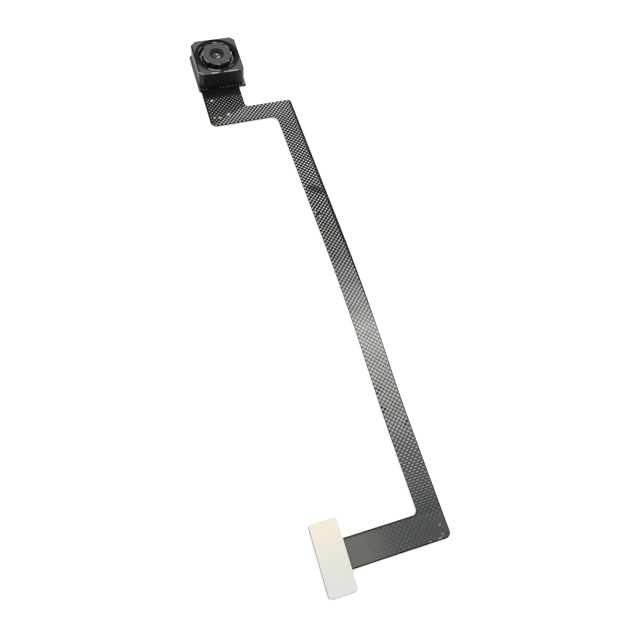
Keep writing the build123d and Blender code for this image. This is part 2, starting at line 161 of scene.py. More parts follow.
# plain finishes: each is what the surface is made of, with its own tones, grain and gloss, and its sizes in mm
# a cover is a colour, its strength, and where it begins and is full: in mm along an axis, or in the range of a noise
plainFinishes = {
    # satin black liquid-crystal polymer, moulded: even and dark, with a faint flow grain
    "mouldedBlackPolymer": {
        "dark": "#0b0c0d", "light": "#131415", "grain": 0.05, "mottle": 0.7, "roughness": (0.42, 0.56),
        "depth": 0.002, "shader": {"IOR": 1.6, "Specular IOR Level": 0.11}},
    # the sensor housing's black polymer, with painted light making it grey down its left side
    "leftLitBlackPolymer": {
        "dark": "#0b0c0d", "light": "#131415", "grain": 0.05, "mottle": 0.7, "roughness": (0.42, 0.56),
        "depth": 0.002, "shader": {"IOR": 1.6, "Specular IOR Level": 0.15},
        "covers": [("x", ("#8a8b87", 1.0, (-4.31, -4.34)))]},
    # the same polymer coloured pale as a painted highlight on edges that catch the light, and a little polished
    "paleHighlightPolymer": {
        "dark": "#8d8e8a", "light": "#b4b4af", "grain": 0.05, "mottle": 0.5, "roughness": (0.3, 0.45),
        "depth": 0.001, "shader": {"IOR": 1.6}},
    # glass-filled connector moulding: black, with pale fibre ends in its skin
    "glassFilledConnectorPolymer": {
        "dark": "#121212", "light": "#262625", "grain": 0.06, "mottle": 0.4, "roughness": (0.42, 0.6),
        "depth": 0.002, "shader": {"IOR": 1.6}},
    # cold-rolled stainless sheet: fine straight rolling lines and soft grey reflections
    "rolledStainless": {
        "dark": "#a3a29e", "light": "#afaeaa", "grain": 0.06, "mottle": 2.4, "stretch": (0.02, 1.0, 1.0),
        "roughness": (0.22, 0.44), "depth": 0.002, "shader": metal},
    # matte tin plate on stamped sheet: pale, even and a little cloudy
    "matteTinPlate": {
        "dark": "#a4a5a3", "light": "#bfbfbc", "grain": 0.05, "mottle": 0.5, "roughness": (0.3, 0.46),
        "depth": 0.002, "shader": metal},
    # etched copper-alloy sheet with a dull nickel flash: warm grey, satin from the etch
    "etchedCopperAlloy": {
        "dark": "#494845", "light": "#54524e", "grain": 0.05, "mottle": 0.5, "roughness": (0.34, 0.5),
        "depth": 0.001, "shader": metal},
    # nickel-plated sintered magnet: grainy, grey and a little dull
    "nickelPlatedMagnet": {
        "dark": "#979690", "light": "#a3a29c", "grain": 0.08, "mottle": 0.8, "roughness": (0.32, 0.5),
        "depth": 0.003, "shader": metal},
    # reflowed tin-silver solder: a grey skin with frosted crystals and a few bright spots
    "reflowedSolder": {
        "dark": "#545555", "light": "#81817d", "grain": 0.07, "mottle": 0.2, "roughness": (0.24, 0.5),
        "depth": 0.004, "shader": metal},
    # hard gold over nickel: warm, smooth and bright, with faint stamping marks
    "hardGoldPlate": {
        "dark": "#d0a54e", "light": "#f0cd80", "grain": 0.05, "mottle": 0.4, "stretch": (1.0, 0.2, 1.0),
        "roughness": (0.15, 0.3), "depth": 0.001, "shader": metal},
    # matt black polyimide cover layer: flat, with a faint press texture
    "blackPolyimideCover": {
        "dark": "#191a1a", "light": "#232424", "grain": 0.09, "mottle": 1.1, "roughness": (0.42, 0.6),
        "depth": 0.003, "shader": {"IOR": 1.55, "Specular IOR Level": 0.08}},
    # carbon-black polyester spacer film, dull so that it swallows stray light
    "carbonBlackSpacerFilm": {
        "dark": "#080808", "light": "#131313", "grain": 0.04, "mottle": 0.4, "roughness": (0.65, 0.85),
        "depth": 0.002},
    # polished blue-green filter glass: nearly clear, with a faint tint
    "polishedFilterGlass": {
        "dark": "#bfe3e2", "light": "#d3ecec", "grain": 0.5, "mottle": 1.5, "roughness": (0.01, 0.03),
        "depth": 0.0002, "shader": {"IOR": 1.52, "Transmission Weight": 1.0}},
    # moulded optical polymer under an anti-reflection coat: clear and dark, with small sharp green-white glints
    "coatedOpticalPolymer": {
        "dark": "#87998e", "light": "#9794a5", "grain": 0.6, "mottle": 0.9, "roughness": (0.02, 0.05),
        "depth": 0.0002, "shader": {
            "IOR": 1.53, "Transmission Weight": 0.9, "Coat Weight": 0.5, "Coat Roughness": 0.03,
            "Coat Tint": linearColour("#cfe8d2")}},
    # connector plate, thin bead-blasted steel with a pale tin finish, faintly marked; painted reflection makes it warm
    # at one end and cool at the other, and painted shade makes it grey at its edge and along two rims
    "blastedTinPlatedSteel": {
        "dark": "#fff5df", "light": "#fdf8ea", "grain": 0.05, "mottle": 1.3, "roughness": (0.5, 0.66),
        "depth": 0.002, "shader": {"Metallic": 0.15}, "covers": [
            # painted reflection cooler towards the far end; painted shade grey on the side faces and two rims
            ("y", ("#eeefe9", 1.0, (-86.5, -94.5))), ("mottle", ("#dddbcf", 0.16, (0.45, 0.75))),
            ("z", ("#85858a", 1.0, (1.11, 1.08))), ("x", ("#9c9c9c", 0.9, (-7.41, -7.48))),
            ("y", ("#9c9c9c", 0.5, (-95.96, -96.03)))]},
}


# lens barrel: spark-textured moulding, a dull even grey on its front face with painted highlights on its tooth edges,
# black in the mouth and down its side
barrelFinish = {
    "dark": "#484948", "light": "#575756", "grain": 0.04, "mottle": 0.5, "roughness": (0.5, 0.64),
    "depth": 0.003, "shader": {"IOR": 1.6, "Specular IOR Level": 0.3},
    # covers by distance from the axis, and by height for the side, which starts some way out
    "mouth": ("#090909", 1.0, (1.42, 1.34)), "toothEdgeHighlight": ("#d2d2ce", 1.0, (2.58, 2.7)),
    "side": ("#0a0b0b", 1.0, (4.58, 4.53)), "sideFrom": 1.9,
    # how strong the painted highlight on the tooth edges is, by the angle round the barrel in degrees
    "toothHighlightByAngle": [(-180, 0.7), (-143, 0.6), (-138, 0.12), (-97, 0.12), (-93, 0.9), (-84, 0.9), (-80, 0.12), (-54, 0.12),
               (-49, 0.7), (-40, 0.7), (-36, 0.15), (-14, 0.2), (-9, 1.0), (32, 1.0), (38, 0.2), (166, 0.2),
               (172, 0.6), (180, 0.7)],
}


def barrelPolymer():
    facts = barrelFinish
    finish = startFinish("sparkTexturedBarrelPolymer", facts)
    tree, radius = finish["tree"], fromAxis(finish)
    coverWhere(finish, radius, facts["mouth"])
    angle = addNode(tree, "ShaderNodeMath", {0: finish["y"], 1: finish["x"]}, operation="ARCTAN2")
    toothHighlightByAngle = readOff(tree, angle, -pi, pi, [(radians(at), most) for at, most in facts["toothHighlightByAngle"]])
    # painted highlight on the tooth edges, stronger at some angles
    coverWhere(finish, radius, facts["toothEdgeHighlight"], within=toothHighlightByAngle[0])
    outside = addNode(tree, "ShaderNodeMath", {0: radius, 1: facts["sideFrom"]}, operation="GREATER_THAN")
    coverWhere(finish, finish["z"], facts["side"], within=outside)
    return finish["material"]


# shield can: thin drawn steel under a matt dark coating, with painted light on its left wall, painted shade blackest
# on the front wall, and a painted highlight along the front rim
canFinish = {
    "dark": "#4f504d", "light": "#5a5955", "grain": 0.07, "mottle": 1.4, "roughness": (0.46, 0.6),
    "depth": 0.003, "shader": {"Specular IOR Level": 0.15},
    # half the can's side, the height at which its walls bend in, and x + y on its cut corner
    "half": 4.25, "wallTop": 4.08, "cutAt": -7.75,
    # pale specks in the coating, and more light on the far side
    "covers": [("fine", ("#8a8a85", 0.25, (0.45, 0.75))), ("y", ("#6c6c6c", 0.45, (0.0, 4.25)))],
    # painted light and shade on the walls: lighter on the left wall, dark on the front wall with painted light towards
    # its right, and dark on the cut corner
    "left": ("#70706e", 1.0, (-4.22, -4.24)), "front": ("#1b1c1c", 1.0, (-4.22, -4.24)),
    "frontRight": ("#3e3e3e", 0.55, (2.4, 4.0)), "cut": ("#242525", 1.0, (-7.75, -7.78)),
    # painted shade in dark lines: at the foot of the left wall, under the cut corner's rim, along the left bend, round
    # the hole
    "footShade": ("#060606", 1.0, (1.54, 1.44)), "rimShade": ("#060606", 1.0, (3.81, 3.91)),
    "bendShade": ("#060606", 1.0, (-3.94, -4.01)), "holeWallShade": ("#060606", 1.0, (4.15, 4.11)),
    # painted highlight along the front rim and the cut corner's rim, and how strong it is at places along the front
    # rim
    "rimHighlight": ("#e6e5df", 1.0, (-4.09, -4.15)), "cutRimHighlight": ("#e6e5df", 0.6, (-7.6, -7.68)),
    "rimHighlightAlong": [(-4.2, 0.12), (-2.1, 0.1), (-1.8, 1.0), (-0.8, 0.95), (-0.6, 0.1), (0.4, 0.7), (0.8, 0.6), (0.95, 0.1),
             (1.2, 0.85), (2.8, 0.9), (3.2, 0.06), (4.2, 0.04)],
}


def coatedSteel():
    facts = canFinish
    finish = startFinish("mattCoatedDrawnSteel", facts)
    tree, x, y, z = (finish[key] for key in ("tree", "x", "y", "z"))
    wall = addNode(tree, "ShaderNodeMath", {0: z, 1: facts["wallTop"]}, operation="LESS_THAN")
    above = addNode(tree, "ShaderNodeMath", {0: 1.0, 1: wall}, operation="SUBTRACT")
    corner = addNode(tree, "ShaderNodeMath", {0: x, 1: y}, operation="ADD")
    onCut = addNode(tree, "ShaderNodeMath", {0: corner, 1: facts["cutAt"]}, operation="LESS_THAN")
    underRim = addNode(tree, "ShaderNodeMath", {0: onCut, 1: wall}, operation="MULTIPLY")
    # painted light on the left wall, painted shade on the front wall and the cut corner
    onLeft = coverWhere(finish, x, facts["left"], within=wall)
    coverWhere(finish, z, facts["footShade"], within=onLeft)
    onFront = coverWhere(finish, y, facts["front"], within=wall)
    coverWhere(finish, x, facts["frontRight"], within=onFront)
    coverWhere(finish, corner, facts["cut"], within=wall)
    coverWhere(finish, z, facts["rimShade"], within=underRim)
    coverWhere(finish, x, facts["bendShade"], within=above)
    coverWhere(finish, fromAxis(finish), facts["holeWallShade"])
    # painted highlight along the front rim and the cut corner's rim
    rimHighlightAlong = readOff(tree, x, -facts["half"], facts["half"], facts["rimHighlightAlong"])
    rim = addNode(tree, "ShaderNodeMath", {0: rimHighlightAlong[0], 1: above}, operation="MULTIPLY")
    coverWhere(finish, y, facts["rimHighlight"], within=rim)
    coverWhere(finish, corner, facts["cutRimHighlight"], within=above)
    return finish["material"]


# hatch of the copper mesh under the shield film, in mm and degrees; its reach past the film's outline is in pitches
hatch = {
    "pitch": 0.54, "ridge": 0.12, "slope": 0.05, "depth": 0.022, "sheet": 0.03, "turn": 45.0,
    "middle": (3.9, -50.0, 0.0), "span": 86.4, "reach": 0.8, "weld": 0.0005,
}
# shield film: carbon-filled film pressed over a copper mesh, silvery on the knots of the mesh and black in its cells,
# with painted sheen in how these change along the circuit
filmFinish = {
    "dark": "#1c1d1d", "light": "#232424", "grain": 0.12, "mottle": 1.8, "depth": 0.004,
    "overMesh": {"roughness": (0.4, 0.52), "shader": {"Metallic": 0.15, "Specular IOR Level": 0.12}},
    "inCells": {"roughness": (0.45, 0.6), "shader": {"Specular IOR Level": 0.06}},
    # along the circuit, in mm from the head: tone of the cells, tone of the knots, and then how strongly the two sets
    # of lines and the rows through their knots stand out, and how much smaller the knots are; their changes along the
    # circuit are painted sheen
    "zonesWithSheen": [
        (-8.0, "#020202", "#fffffc", (0.9, 1.0, 0.0, 0.36)), (-11.5, "#242424", "#dcdcd6", (0.55, 1.0, 0.0, 0.34)),
        (-16.0, "#020202", "#fffffc", (1.0, 0.75, 0.0, 0.53)), (-28.0, "#020202", "#fffffc", (1.0, 0.75, 0.0, 0.47)),
        (-36.0, "#030303", "#e0e0dc", (0.7, 1.0, 0.0, 0.42)), (-46.0, "#2e2f2e", "#c2c2be", (0.64, 1.0, 0.0, 0.36)),
        (-50.0, "#565756", "#cacac6", (0.66, 1.0, 0.0, 0.32)), (-56.0, "#797a78", "#cccdc8", (0.4, 1.0, 0.0, 0.28)),
        (-59.5, "#929391", "#e0e0dc", (1.0, 0.7, 0.0, 0.12)), (-68.0, "#747573", "#d4d4d0", (1.0, 0.8, 0.0, 0.12)),
        (-76.0, "#636563", "#c0c0bc", (1.0, 0.9, 0.2, 0.16)), (-80.0, "#535655", "#b4b5b2", (0.85, 0.9, 1.0, 0.24)),
        (-84.0, "#484c4b", "#a4a6a3", (0.3, 0.4, 1.0, 0.28)), (-88.0, "#484c4b", "#747775", (0.15, 0.4, 0.7, 0.28)),
        (-91.0, "#4a4d4d", "#515554", (0.9, 1.0, 0.1, 0.30)),
    ],
    "far": -95.0, "knotSpan": (-0.46, 0.54), "dull": ("#1b1c1c", 0.18, (0.4, 0.8)),
    # the neck bends off along a line between the arm's inner and outer corners, and its knots are drawn smaller there
    # as painted shade for that bend
    "crease": ((3.1, -9.4), (-3.9, -13.1)), "creaseSpan": (-0.15, 0.25), "neckShadeTrim": 0.40,
    # the far arm turns smooth, warm and dusty towards the connector, with paler knots half way along
    "tailStart": -89.2, "warm": ("#74766e", 0.8, (5.0, -1.5)), "dust": ("#b4b6b0", 0.3, (0.49, 0.69)),
    "paleKnot": ("#6e706a", 0.6, (0.4, 1.0)), "paleSides": [(1.0, 2.4), (7.0, 5.4)],
    # small marks on the upper face, the white and pale yellow ones painted glints: tone, strength, and then middle x,
    # y, half widths and turn of each; a mark's edge is soft between these multiples of its half width
    "marks": [
        ("#020202", 0.7, [(10.2, -31.7, 1.9, 0.85, -40.0), (9.0, -36.9, 0.9, 0.5, -50.0)]),
        # white spots: painted glints
        ("#ffffff", 1.0, [(-2.8, -7.1, 0.36, 0.17, 25.0), (-0.5, -10.9, 0.5, 0.17, 40.0), (8.7, -36.5, 0.2, 0.14, 0.0),
                          (9.2, -37.4, 0.2, 0.12, 60.0)]),
        # pale yellow spots: painted glints
        ("#fff6c9", 0.9, [(-2.2, -11.4, 0.34, 0.15, -30.0), (-3.2, -11.2, 0.18, 0.16, 0.0)]),
        ("#b4b4ac", 0.8, [(10.85, -91.2, 0.16, 0.14, 0.0), (10.8, -92.5, 0.16, 0.14, 0.0), (8.7, -93.0, 0.2, 0.1, 0.0),
                          (10.2, -92.95, 0.4, 0.1, 20.0)]),
    ],
    "markEdge": (1.1, 0.6),
}


def meshFilm(name, part):
    facts = filmFinish
    finish = startFinish(name, {**facts, **facts[part]})
    tree, place, x, y = (finish[key] for key in ("tree", "place", "x", "y"))
    # two sets of lines that cross in knots, in step with the modelled mesh, and the rows that the knots stand in
    turn = hatch["pitch"] / (2 * pi)
    phase = addNode(tree, "ShaderNodeMapping", {
        "Vector": place, "Location": hatch["middle"], "Rotation": (0.0, 0.0, radians(hatch["turn"])),
        "Scale": (turn, turn, 1.0)}, vector_type="TEXTURE")
    sets = addNode(tree, "ShaderNodeSeparateXYZ", {0: phase}, out=None).outputs
    rows = addNode(tree, "ShaderNodeMath", {0: sets[0], 1: sets[1]}, operation="ADD")
    waves = [addNode(tree, "ShaderNodeMath", {0: wave}, operation="COSINE") for wave in (sets[0], sets[1], rows)]
    waves = addNode(tree, "ShaderNodeCombineXYZ", dict(enumerate(waves)))
    # tones and strengths along the circuit, carrying painted sheen
    places, cellTones, knotTones, strengths = zip(*facts["zonesWithSheen"])
    columns = (map(linearColour, cellTones), map(linearColour, knotTones), strengths)
    (cells, _), (knots, _), (weights, trim) = (
        readOff(tree, y, 0.0, facts["far"], list(zip(places, column))) for column in columns)
    weighed = addNode(tree, "ShaderNodeVectorMath", {0: waves, 1: weights}, out=1, operation="DOT_PRODUCT")
    total = addNode(tree, "ShaderNodeVectorMath", {0: weights, 1: (1.0, 1.0, 1.0)}, out=1, operation="DOT_PRODUCT")
    height = addNode(tree, "ShaderNodeMath", {0: weighed, 1: total}, operation="DIVIDE")
    # smaller knots on the neck's side of its crease, as painted shade
    start, end = (Vector((*corner, 0.0)) for corner in facts["crease"])
    normal = (end - start).cross(Vector((0.0, 0.0, 1.0))).normalized()
    across = addNode(tree, "ShaderNodeVectorMath", {0: place, 1: normal}, out=1, operation="DOT_PRODUCT")
    limits = [start.dot(normal) + offset for offset in facts["creaseSpan"]]
    neckShade = addNode(tree, "ShaderNodeMapRange", {
        "Value": across, **fromSpan(*limits), "To Max": facts["neckShadeTrim"]}, interpolation_type="SMOOTHSTEP")
    smaller = addNode(tree, "ShaderNodeMath", {0: trim, 1: neckShade}, operation="ADD")
    knot = addNode(tree, "ShaderNodeMath", {0: height, 1: smaller}, operation="SUBTRACT")
    onKnot = addNode(tree, "ShaderNodeMapRange", {"Value": knot, **fromSpan(*facts["knotSpan"])},
                     interpolation_type="SMOOTHSTEP")
    finish["colour"] = addNode(tree, "ShaderNodeMix", {"Factor": onKnot, 6: cells, 7: knots}, out=2, data_type="RGBA")
    coverWhere(finish, finish["mottle"], facts["dull"])
    # the far arm beside the connector
    onTail = addNode(tree, "ShaderNodeMath", {0: y, 1: facts["tailStart"]}, operation="LESS_THAN")
    coverWhere(finish, x, facts["warm"], within=onTail)
    sides = [addNode(tree, "ShaderNodeMapRange", {"Value": x, **fromSpan(*side)}) for side in facts["paleSides"]]
    between = addNode(tree, "ShaderNodeMath", {0: sides[0], 1: sides[1]}, operation="MULTIPLY")
    paleKnots = addNode(tree, "ShaderNodeMath", {0: between, 1: onTail}, operation="MULTIPLY")
    coverWhere(finish, onKnot, facts["paleKnot"], within=paleKnots)
    coverWhere(finish, finish["fine"], facts["dust"], within=onTail)
    facing = addNode(tree, "ShaderNodeSeparateXYZ", {0: addNode(tree, "ShaderNodeTexCoord", out="Normal")}, out=2)
    onTop = addNode(tree, "ShaderNodeMath", {0: facing, 1: 0.0}, operation="GREATER_THAN")
    # the small marks, among them painted glints
    for tone, most, spots in facts["marks"]:
        for middleX, middleY, halfX, halfY, angle in spots:
            spot = addNode(tree, "ShaderNodeMapping", {
                "Vector": place, "Location": (middleX, middleY, 0.0), "Rotation": (0.0, 0.0, radians(angle)),
                "Scale": (halfX, halfY, 1.0)}, vector_type="TEXTURE")
            flat = addNode(tree, "ShaderNodeVectorMath", {0: spot, 1: (1.0, 1.0, 0.0)}, operation="MULTIPLY")
            reach = addNode(tree, "ShaderNodeVectorMath", {0: flat}, out=1, operation="LENGTH")
            coverWhere(finish, reach, (tone, most, facts["markEdge"]), within=onTop)
    return finish["material"]


# circuit core: die-cut polyimide and copper, near black, with amber and copper layers just showing in its cut edge
coreFinish = {
    "dark": "#070706", "light": "#0e0d0b", "grain": 0.1, "mottle": 0.8, "roughness": (0.42, 0.6),
    "depth": 0.002, "shader": {"IOR": 1.7, "Specular IOR Level": 0.08}, "layer": ("#3b2d1e", 0.3, (0.6, 0.75)),
    "layerMm": 0.05, "layerStretch": (0.05, 0.05, 1.0),
}


def laminateCore():
    facts = coreFinish
    finish = startFinish("dieCutPolyimideLaminate", facts)
    tree = finish["tree"]
    flat = addNode(tree, "ShaderNodeMapping", {"Vector": finish["place"], "Scale": facts["layerStretch"]})
    layers = addNode(tree, "ShaderNodeTexNoise", {"Vector": flat, "Scale": 1 / facts["layerMm"]})
    coverWhere(finish, layers, facts["layer"])
    return finish["material"]


# board: black photo-imaged solder mask over glass cloth, a satin skin that follows the weave; painted light makes it
# pale along its left edge
boardFinish = {
    "dark": "#0f1210", "light": "#191d1b", "grain": 0.12, "mottle": 0.9, "roughness": (0.36, 0.5),
    "depth": 0.001, "shader": {"IOR": 1.55, "Specular IOR Level": 0.3},
    "covers": [("x", ("#767670", 1.0, (-4.38, -4.41)))],
    # the weave repeats every half mm, and its tones stand for the height of its threads and of the gaps
    "weaveMm": 0.5, "weaveDepthMm": 0.004, "weave": {
        "Color1": (0.42, 0.42, 0.42, 1), "Color2": (0.6, 0.6, 0.6, 1), "Mortar": (0.2, 0.2, 0.2, 1),
        "Mortar Size": 0.06, "Mortar Smooth": 1.0},
}


def solderMask():
    facts = boardFinish
    finish = startFinish("blackSolderMaskBoard", facts)
    weave = addNode(finish["tree"], "ShaderNodeTexBrick", {
        "Vector": finish["place"], "Scale": 1 / facts["weaveMm"], **facts["weave"]}, offset=0.5)
    bump = addNode(finish["tree"], "ShaderNodeBump", {"Distance": facts["weaveDepthMm"] * mm, "Height": weave})
    finish["tree"].links.new(bump, finish["shader"].inputs["Normal"])
    return finish["material"]


# sensor die: polished silicon under colour filters, dark, from blue-green to violet; its field is drawn in squares
# far larger than its pixels, so that they show
sensorFinish = {
    "dark": "#1c3238", "light": "#20243a", "grain": 0.3, "mottle": 1.8, "roughness": (0.08, 0.14),
    "depth": 0.0001, "shader": {"Metallic": 0.4}, "cellMm": 0.1, "cell": ("#2a2440", 0.6, (0.0, 1.0)),
}


def sensorSilicon():
    facts = sensorFinish
    finish = startFinish("polishedSensorSilicon", facts)
    cells = addNode(finish["tree"], "ShaderNodeTexChecker", {
        "Vector": finish["place"], "Scale": 1 / facts["cellMm"]}, out=1)
    coverWhere(finish, cells, facts["cell"])
    return finish["material"]


# capacitors: fired ceramic chips with tinned ends
chipFinish = {
    "dark": "#97805f", "light": "#ad9271", "grain": 0.06, "mottle": 0.3, "roughness": (0.3, 0.5),
    "depth": 0.003, "spacing": 0.8, "tin": ("#c7c7c4", 1.0, (0.17, 0.19)),
}


def chipCeramic():
    facts = chipFinish
    finish = startFinish("firedChipCeramic", facts)
    wrap = addNode(finish["tree"], "ShaderNodeMath", {0: finish["y"], 1: facts["spacing"]}, operation="PINGPONG")
    ends = coverWhere(finish, wrap, facts["tin"])
    finish["tree"].links.new(ends, finish["shader"].inputs["Metallic"])
    return finish["material"]


# coil: fine copper wire laid side by side, drawn near black with brown bands and black lines between; the bands are
# drawn 0.31 mm apart, far coarser than the wire, so that they show
coilFinish = {
    "dark": "#0c0a09", "light": "#14100e", "grain": 0.05, "mottle": 0.4, "roughness": (0.4, 0.55),
    "depth": 0.001, "shader": {"Metallic": 0.5, "Specular IOR Level": 0.2}, "wire": ("#261c17", 1.0, (0.2, 0.9)),
    "bands": {"Scale": 1.0, "Distortion": 0.4, "Detail": 1.0, "Detail Scale": 2.0}, "bandDepthMm": 0.01,
}


def windingCopper():
    facts = coilFinish
    finish = startFinish("enamelledCopperWinding", facts)
    tree = finish["tree"]
    bands = addNode(tree, "ShaderNodeTexWave", {"Vector": finish["place"], **facts["bands"]}, out=1,
                    bands_direction="Z")
    coverWhere(finish, bands, facts["wire"])
    bump = addNode(tree, "ShaderNodeBump", {"Distance": facts["bandDepthMm"] * mm, "Height": bands})
    tree.links.new(bump, finish["shader"].inputs["Normal"])
    return finish["material"]


plain = {name: startFinish(name, facts)["material"] for name, facts in plainFinishes.items()}
filmRidge = meshFilm("shieldFilmOverMesh", "overMesh")
filmCell = meshFilm("shieldFilmInCells", "inCells")
spring = plain["etchedCopperAlloy"]

finishes = [
    (plain["rolledStainless"], ["base_plate"]), (laminateCore(), ["flex_circuit"]),
    (filmRidge, ["shield_film_top", "shield_film_bottom"]), (plain["blackPolyimideCover"], ["neck_cover"]),
    (solderMask(), ["sensor_board"]), (sensorSilicon(), ["image_sensor"]), (chipCeramic(), ["board_capacitors"]),
    (plain["leftLitBlackPolymer"], ["sensor_housing"]), (spring, ["coil_terminals", "lower_spring", "upper_spring"]),
    (plain["polishedFilterGlass"], ["ir_filter"]), (plain["reflowedSolder"], ["edge_terminals", "ground_solder"]),
    (coatedSteel(), ["shield_can"]), (plain["nickelPlatedMagnet"], ["magnets"]), (windingCopper(), ["drive_coil"]),
    (plain["mouldedBlackPolymer"], ["motor_base", "spring_spacer", "top_frame", "lens_carrier"]),
    (barrelPolymer(), ["lens_barrel"]), (plain["coatedOpticalPolymer"], ["lens_1", "lens_2", "lens_3", "lens_4"]),
    (plain["carbonBlackSpacerFilm"], ["lens_retainer", "lens_spacer_1", "lens_spacer_2", "lens_spacer_3"]),
    (plain["glassFilledConnectorPolymer"], ["connector_housing"]), (plain["hardGoldPlate"], ["connector_contacts"]),
    (plain["matteTinPlate"], ["connector_nails"]), (plain["blastedTinPlatedSteel"], ["connector_stiffener"]),
]
for finish, names in finishes:
    for name in names:
        mesh = nodes[name].data
        mesh.materials.clear()
        mesh.materials.append(finish)
print("finishes on the nodes:", len(finishes))


# shield films on both faces of the circuit: a hatched mesh grown inside the film's outline, then laid on the circuit
filmPlan = {
    # corner x, y and rounding, in mm
    "corners": [
        (-3.97, -6.5, 0), (3.08, -6.5, 0), (3.08, -9.68, 0.8), (11.52, -9.68, 0.5), (11.48, -42.0, 0),
        (11.82, -58.0, 0), (11.82, -93.06, 0.7), (-3.15, -93.06, 0), (-3.15, -89.05, 0), (8.32, -89.05, 0.9),
        (8.32, -13.18, 1.4), (-3.97, -13.18, 1.05),
    ],
    "arcSteps": 8, "sharpAngle": 12,
}
flexSide = {
    # side view of the circuit's underside: distance along the bend direction, height, and the bend radii
    "corners": [(-9.1, 0.15), (11.5, 0.15), (54.0, 2.75), (72.0, 0.82), (140.0, 0.82)],
    "radii": [110.0, 130.0, 85.0], "slant": 20.0, "coreSheet": 0.12,
}


def undersideHeight(along):
    corners = flexSide["corners"]
    for i, radius in enumerate(flexSide["radii"]):
        (s0, z0), (s1, z1), (s2, z2) = corners[i:i + 3]
        rise, fall = atan2(z1 - z0, s1 - s0), atan2(z2 - z1, s2 - s1)
        side = 1 if fall > rise else -1
        reach = radius * tan(abs(fall - rise) / 2)
        start = s1 - reach * cos(rise)
        if start <= along <= s1 + reach * cos(fall):
            centre = start - side * radius * sin(rise)
            middle = z1 - reach * sin(rise) + side * radius * cos(rise)
            return middle - side * sqrt(radius ** 2 - (along - centre) ** 2)
    for (s0, z0), (s1, z1) in zip(corners, corners[1:]):
        if along <= s1:
            return z0 + (z1 - z0) * (along - s0) / (s1 - s0)
    return corners[-1][1]


def roundedOutline(corners, steps):
    points = []
    for i, (x, y, radius) in enumerate(corners):
        here = Vector((x, y))
        before = (Vector(corners[i - 1][:2]) - here).normalized()
        after = (Vector(corners[(i + 1) % len(corners)][:2]) - here).normalized()
        if not radius:
            points.append(here)
            continue
        centre = here + (before + after) * radius
        first, last = here + before * radius - centre, here + after * radius - centre
        for k in range(steps + 1):
            turn = k / steps * pi / 2
            points.append(centre + first * cos(turn) + last * sin(turn))
    return points


def outlinePrism(name, points, low, high):
    plan = bmesh.new()
    face = plan.faces.new([plan.verts.new((p.x, p.y, low)) for p in points])
    up = bmesh.ops.extrude_face_region(plan, geom=[face])["geom"]
    bmesh.ops.translate(plan, verts=[v for v in up if isinstance(v, bmesh.types.BMVert)], vec=(0, 0, high - low))
    bmesh.ops.recalc_face_normals(plan, faces=plan.faces)
    return newObject(name, meshOf(name, plan))


def newTree(name, sockets):
    tree = bpy.data.node_groups.new(name, "GeometryNodeTree")
    for kind, labels in sockets.items():
        for label in labels:
            tree.interface.new_socket(label, in_out="INPUT", socket_type="NodeSocket" + kind)
    tree.interface.new_socket("Geometry", in_out="OUTPUT", socket_type="NodeSocketGeometry")
    return tree, addNode(tree, "NodeGroupInput", out=None).outputs


